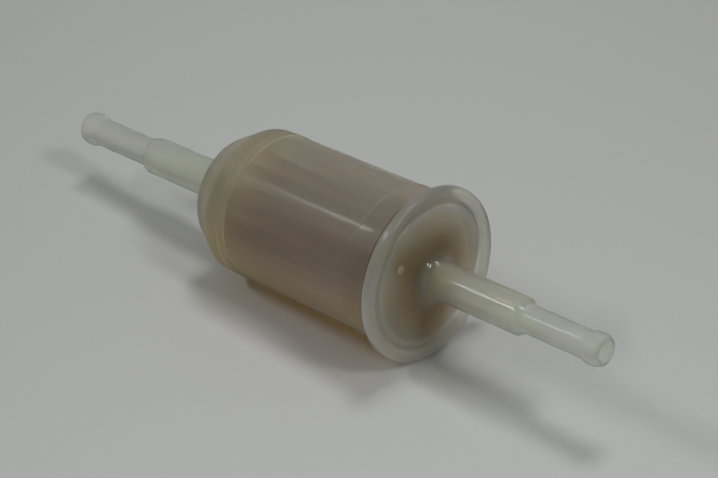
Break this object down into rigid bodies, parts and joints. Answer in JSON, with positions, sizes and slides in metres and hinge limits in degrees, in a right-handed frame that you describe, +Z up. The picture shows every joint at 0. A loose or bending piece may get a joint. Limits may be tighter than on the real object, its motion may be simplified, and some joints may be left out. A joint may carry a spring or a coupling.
{
  "type": "in-line fuel filter",
  "caption": "Translucent plastic in-line fuel filter: a round housing with a flanged cover, a pleated paper element inside, and a stepped hose stem on each end.",
  "frame": {"origin": "on the filter's axis, halfway between the tips of the two hose stems", "axes": "+X along the axis in the direction of flow, out of the outlet stem on the flanged cover; +Z up"},
  "size_m": [0.1446, 0.0376, 0.0376],
  "materials": {
    "housing": "translucent milky nylon, satin",
    "paper": "resin-treated filter paper",
    "clip": "bright strip",
    "inner_plastic": "moulded, matt",
    "adhesive": "cured amber adhesive",
    "seal": "black fuel-proof rubber"
  },
  "bodies": {
    "root": {"body_shell": "housing", "cover_shell": "housing", "filter_paper": "paper", "paper_seam_clip": "clip", "core_tube": "inner_plastic", "inlet_end_cap": "inner_plastic", "outlet_end_cap": "inner_plastic", "inlet_adhesive": "adhesive", "outlet_adhesive": "adhesive", "outlet_seal_ring": "seal"}
  },
  "joints": []
}
